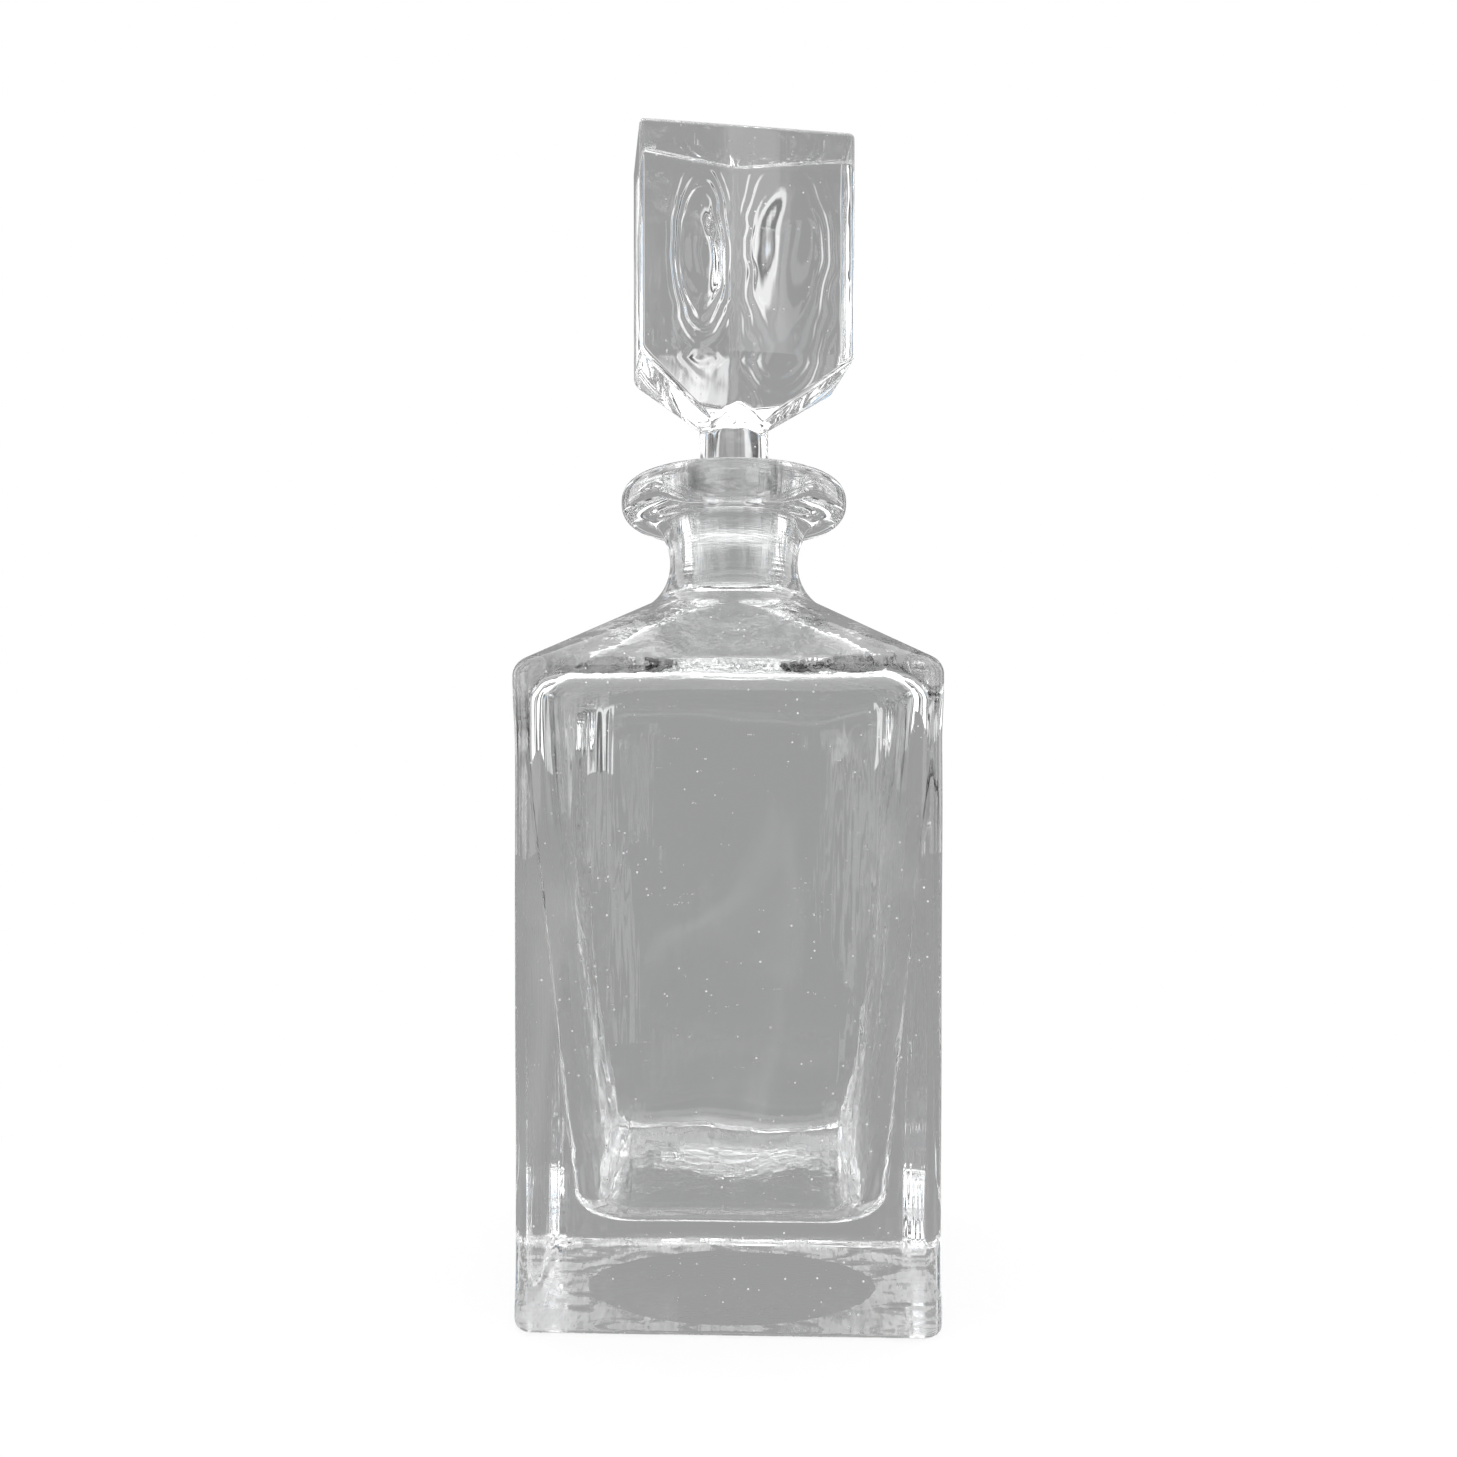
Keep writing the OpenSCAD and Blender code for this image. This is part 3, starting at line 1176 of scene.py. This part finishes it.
@dataclass
class Studio:
    """Pale floor, soft grey surroundings with white panels, and the camera.

    Args:
        focal: lens length in millimetres.
        distance: from the bottle's axis to the camera, in millimetres.
        height: camera height in millimetres.
        azimuth: degrees that the camera stands round to the right.
        pitch: degrees that the camera looks down.
        rise: vertical shift of the frame.
        slide: sideways shift of the frame.
        grey: brightness of the plain surroundings.
        white: how much brighter the large panels are.
        pale: how much brighter the narrow panels behind the bottle are.
        dark: how much darker the gaps beside the panels are.
        sky: colour of the small patches where daylight comes in.
        white_at, pale_at, dark_at, sky_at: where the panels, gaps and patches stand.
        soft: degrees over which a panel's edge fades, to each side.
        panel_foot, panel_top: levels between which the panels fade in and out; 1 is overhead.
        ceiling: levels between which the white ceiling begins.
        sky_foot, sky_top: levels between which the daylight fades in and out.
        floor_r: radius of the floor, in millimetres.
        floor_gap: how far the floor lies below the bottle's foot, in millimetres.
        floor_fade: region over which the floor pales into the surroundings.
    """

    focal: float = 30.2
    distance: float = 301.0
    height: float = 113.0
    azimuth: float = 2.0
    pitch: float = 1.0
    rise: float = 0.0655
    slide: float = -0.0037
    grey: float = 0.34
    white: float = 1.6
    pale: float = 0.5
    dark: float = 0.21
    sky: tuple[float, float, float, float] = (0.45, 0.72, 1.0, 1.0)
    white_at: Panels = ((62.0, 12.0), (97.0, 4.0), (128.0, 13.0), (160.0, 5.0))
    pale_at: Panels = ((24.0, 3.0), (37.0, 3.0), (82.0, 3.0))
    dark_at: Panels = (
        (30.0, 3.0), (45.0, 3.5), (76.0, 2.0), (89.0, 3.0), (108.0, 5.0), (148.0, 5.0),
    )
    sky_at: Panels = ((37.0, 2.5), (118.0, 3.0))
    soft: float = 1.5
    panel_foot: tuple[float, float] = (-0.35, -0.25)
    panel_top: tuple[float, float] = (0.8, 0.7)
    ceiling: tuple[float, float] = (0.72, 0.8)
    sky_foot: tuple[float, float] = (0.3, 0.36)
    sky_top: tuple[float, float] = (0.5, 0.44)
    floor_r: float = 2500.0
    floor_gap: float = 0.05
    floor_fade: Spot = Spot((0.0, 0.0, 0.0), (1000.0, 1000.0, 1000.0))

    def camera(self) -> bpy.types.Object:
        """Makes the camera and gives it to the scene.

        Returns:
            The camera.
        """
        data = bpy.data.cameras.new("camera")
        data.lens = self.focal
        data.sensor_width = SENSOR
        data.shift_y = self.rise
        data.shift_x = self.slide
        data.clip_start, data.clip_end = NEAREST, FARTHEST
        data.dof.use_dof = False
        camera = bpy.data.objects.new("camera", data)
        bpy.context.collection.objects.link(camera)
        turn = math.radians(self.azimuth)
        side, back = self.distance * math.sin(turn), -self.distance * math.cos(turn)
        camera.location = (side * MM, back * MM, self.height * MM)
        camera.rotation_euler = (math.radians(90 - self.pitch), 0, turn)
        bpy.context.scene.camera = camera
        return camera

    def panels(
        self, nodes: Nodes, side: bpy.types.NodeSocket, places: Panels
    ) -> bpy.types.NodeSocket:
        """Upright panels, the same on both sides.

        Args:
            nodes: the world's tree.
            side: angle round from straight behind the bottle, in radians.
            places: the panels.

        Returns:
            1 on the panels and 0 beside them.
        """
        found = None
        for middle, half in places:
            away = nodes.math("ABSOLUTE", nodes.math("SUBTRACT", side, math.radians(middle)))
            outer, inner = math.radians(half + self.soft), math.radians(half - self.soft)
            panel = nodes.step(away, outer, inner)
            found = panel if found is None else nodes.math("MAXIMUM", found, panel)
        return found

    def surroundings(self) -> bpy.types.World:
        """Soft grey walls with tall white panels and a white ceiling, all plain light.

        Returns:
            The world.
        """
        nodes = Nodes(bpy.data.worlds.new("studio"))
        direction = nodes.add("ShaderNodeTexCoord").outputs["Generated"]
        split = nodes.add("ShaderNodeSeparateXYZ", Vector=direction)
        across, away, level = split.outputs
        side = nodes.math("ABSOLUTE", nodes.math("ARCTAN2", across, away))
        foot, top = nodes.step(level, *self.panel_foot), nodes.step(level, *self.panel_top)
        tall = nodes.math("MULTIPLY", foot, top)
        white = nodes.math("MULTIPLY", self.panels(nodes, side, self.white_at), tall)
        white = nodes.math("MAXIMUM", white, nodes.step(level, *self.ceiling))
        pale = nodes.math("MULTIPLY", self.panels(nodes, side, self.pale_at), tall)
        dark = nodes.math("MULTIPLY", self.panels(nodes, side, self.dark_at), tall)
        dark = nodes.math("MULTIPLY", dark, -self.dark)
        plain = nodes.math("ADD", dark, self.grey)
        plain = nodes.math("ADD", nodes.math("MULTIPLY", pale, self.pale), plain)
        strength = nodes.math("ADD", plain, nodes.math("MULTIPLY", white, self.white))
        direct = nodes.add("ShaderNodeLightPath").outputs["Is Camera Ray"]
        seen = nodes.add("ShaderNodeMix", data_type="FLOAT")
        nodes.give(direct, seen.inputs[0])
        nodes.give(strength, seen.inputs[2])
        nodes.give(1.0, seen.inputs[3])
        foot, top = nodes.step(level, *self.sky_foot), nodes.step(level, *self.sky_top)
        sky = nodes.math("MULTIPLY", foot, top)
        sky = nodes.math("MULTIPLY", sky, self.panels(nodes, side, self.sky_at))
        sky = nodes.math("MULTIPLY", sky, nodes.math("SUBTRACT", 1.0, direct))
        tint = nodes.add("ShaderNodeMix", data_type="RGBA")
        nodes.give(sky, tint.inputs[0])
        nodes.give(WHITE, tint.inputs[6])
        nodes.give(self.sky, tint.inputs[7])
        background = nodes.add(
            "ShaderNodeBackground", Color=tint.outputs[2], Strength=seen.outputs[0]
        )
        nodes.add("ShaderNodeOutputWorld", Surface=background.outputs[0])
        bpy.context.scene.world = nodes.owner
        return nodes.owner

    def floor(self) -> bpy.types.Object:
        """A pale floor that pales into the surroundings with distance.

        Returns:
            The floor.
        """
        bm = bmesh.new()
        bmesh.ops.create_circle(bm, cap_ends=True, segments=64, radius=self.floor_r * MM)
        bmesh.ops.translate(bm, vec=(0, 0, -self.floor_gap * MM), verts=bm.verts)
        nodes = Nodes(bpy.data.materials.new("floor_card"))
        far = nodes.step(self.floor_fade.reach(nodes), 0.05, 0.27)
        far = nodes.math("ADD", nodes.math("MULTIPLY", far, 0.15), 0.85)
        grain = nodes.ramp(nodes.noise(nodes.place((3, 3, 3)), 3.0), [(0.3, 0.94), (0.7, 0.96)])
        near = nodes.add("ShaderNodeBsdfDiffuse", Color=grain)
        white = nodes.add("ShaderNodeEmission", Color=WHITE, Strength=1.0)
        seen_floor = nodes.add("ShaderNodeMixShader")
        nodes.give(far, seen_floor.inputs[0])
        nodes.give(near.outputs[0], seen_floor.inputs[1])
        nodes.give(white.outputs[0], seen_floor.inputs[2])
        grey = nodes.add("ShaderNodeEmission", Color=WHITE, Strength=self.grey)
        both = nodes.add("ShaderNodeMixShader")
        nodes.give(nodes.add("ShaderNodeLightPath").outputs["Is Camera Ray"], both.inputs[0])
        nodes.give(grey.outputs[0], both.inputs[1])
        nodes.give(seen_floor.outputs[0], both.inputs[2])
        nodes.add("ShaderNodeOutputMaterial", Surface=both.outputs[0])
        floor = finish_piece(bm, "floor", [nodes.owner])
        return floor


def main() -> None:
    """Builds the studio and the two pieces."""
    logging.basicConfig(level=logging.INFO, format="%(name)s: %(message)s")
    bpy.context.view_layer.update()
    studio = Studio()
    studio.camera()
    studio.surroundings()
    studio.floor()
    low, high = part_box("bottle")
    bottle = Bottle(width=(high.x - low.x) / MM, lip_top=high.z / MM)
    low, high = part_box("stopper")
    stopper = Stopper(top=high.z / MM, foot=low.z / MM)
    for sub_assembly in (bottle, stopper):
        piece = sub_assembly.dress()
        log.info("%s: %d faces", piece.name, len(piece.data.polygons))
    scene = bpy.context.scene
    scene.view_settings.view_transform = "Standard"
    scene.cycles.max_bounces = BOUNCES
    scene.cycles.transmission_bounces = BOUNCES
    scene.cycles.glossy_bounces = GLOSSY_BOUNCES


if __name__ == "__main__":
    main()
